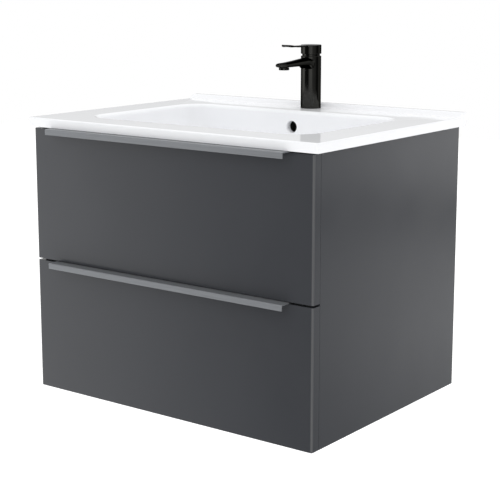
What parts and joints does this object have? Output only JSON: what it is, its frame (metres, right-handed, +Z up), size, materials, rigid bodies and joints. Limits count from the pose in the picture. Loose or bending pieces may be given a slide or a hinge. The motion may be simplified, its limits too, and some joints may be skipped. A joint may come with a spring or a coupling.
{
  "type": "bathroom vanity cabinet",
  "caption": "Wall-hung bathroom vanity: gloss graphite cabinet with sliding drawers and bar-edge handles, under an inset ceramic basin with a black single-lever tap.",
  "frame": {"origin": "on the wall plane, at the middle of the steel rail that the cabinet hangs on", "axes": "+X to the user's right as they face the vanity, +Y into the wall, +Z up; the drawers open along -Y"},
  "size_m": [0.61, 0.4795, 0.605],
  "materials": {
    "graphite_gloss": "board faced with gloss graphite lacquer",
    "graphite_board": "satin graphite melamine",
    "drawer_board": "satin grey melamine with a fine linear grain",
    "ceramic": "white gloss glaze",
    "black_metal": "black plated, gloss",
    "handle_aluminium": "satin anodised",
    "zinc_steel": "bright zinc plated",
    "brass": "machined",
    "rubber": "matt black",
    "cartridge_plastic": "moulded"
  },
  "bodies": {
    "cabinet": {"side_panel_left": "graphite_gloss", "side_panel_right": "graphite_gloss", "bottom_panel": "graphite_board", "front_rail": "graphite_board", "back_rail_upper": "graphite_board", "back_rail_lower": "graphite_board", "wall_rail": "zinc_steel", "hanger_left": "zinc_steel", "hanger_right": "zinc_steel", "hanger_screw_left": "zinc_steel", "hanger_screw_right": "zinc_steel", "basin": "ceramic", "waste_body": "black_metal", "waste_gasket": "rubber", "waste_nut": "zinc_steel", "tap_body": "black_metal", "tap_aerator": "black_metal", "tap_cartridge": "cartridge_plastic", "tap_neck_ring": "black_metal", "tap_gasket": "rubber", "tap_washer": "rubber", "tap_plate": "zinc_steel", "tap_nut": "brass", "tap_stud": "brass", "tap_inlet_hot": "brass", "tap_inlet_cold": "brass", "lower_drawer_runner_outer_left": "zinc_steel", "lower_drawer_runner_outer_right": "zinc_steel", "upper_drawer_runner_outer_left": "zinc_steel", "upper_drawer_runner_outer_right": "zinc_steel"},
    "upper_drawer": {"upper_drawer_front": "graphite_gloss", "upper_drawer_handle": "handle_aluminium", "upper_drawer_side_left": "drawer_board", "upper_drawer_side_right": "drawer_board", "upper_drawer_box_front": "drawer_board", "upper_drawer_bottom": "drawer_board", "upper_drawer_notch_wall": "drawer_board", "upper_drawer_back_left": "drawer_board", "upper_drawer_back_right": "drawer_board", "upper_drawer_runner_inner_left": "zinc_steel", "upper_drawer_runner_inner_right": "zinc_steel"},
    "upper_runner": {"upper_drawer_runner_middle_left": "zinc_steel", "upper_drawer_runner_middle_right": "zinc_steel"},
    "lower_drawer": {"lower_drawer_front": "graphite_gloss", "lower_drawer_handle": "handle_aluminium", "lower_drawer_side_left": "drawer_board", "lower_drawer_side_right": "drawer_board", "lower_drawer_box_front": "drawer_board", "lower_drawer_bottom": "drawer_board", "lower_drawer_back": "drawer_board", "lower_drawer_runner_inner_left": "zinc_steel", "lower_drawer_runner_inner_right": "zinc_steel"},
    "lower_runner": {"lower_drawer_runner_middle_left": "zinc_steel", "lower_drawer_runner_middle_right": "zinc_steel"},
    "tap_swivel": {"tap_spindle": "brass"},
    "tap_lever": {"tap_lever": "black_metal"},
    "waste_plug": {"waste_plug": "black_metal"}
  },
  "joints": [
    {"name": "upper_drawer_slide", "type": "slide", "parent": "cabinet", "child": "upper_drawer", "axis": [0, -1, 0], "range_m": [0, 0.36]},
    {"name": "upper_runner_slide", "type": "slide", "parent": "cabinet", "child": "upper_runner", "axis": [0, -1, 0], "range_m": [0, 0.18]},
    {"name": "lower_drawer_slide", "type": "slide", "parent": "cabinet", "child": "lower_drawer", "axis": [0, -1, 0], "range_m": [0, 0.36]},
    {"name": "lower_runner_slide", "type": "slide", "parent": "cabinet", "child": "lower_runner", "axis": [0, -1, 0], "range_m": [0, 0.18]},
    {"name": "tap_swivel", "type": "hinge", "parent": "cabinet", "child": "tap_swivel", "pos_m": [0, -0.0385, 0.176], "axis": [0, 0, 1], "range_deg": [-50, 50]},
    {"name": "tap_lift", "type": "hinge", "parent": "tap_swivel", "child": "tap_lever", "pos_m": [0, -0.0295, 0.174], "axis": [-1, 0, 0], "range_deg": [0, 20]},
    {"name": "waste_plug_lift", "type": "slide", "parent": "cabinet", "child": "waste_plug", "axis": [0, 0, 1], "range_m": [0, 0.008]}
  ],
  "couplings": [
    {"joint": "upper_runner_slide", "follows": "upper_drawer_slide", "ratio": 0.5},
    {"joint": "lower_runner_slide", "follows": "lower_drawer_slide", "ratio": 0.5}
  ]
}
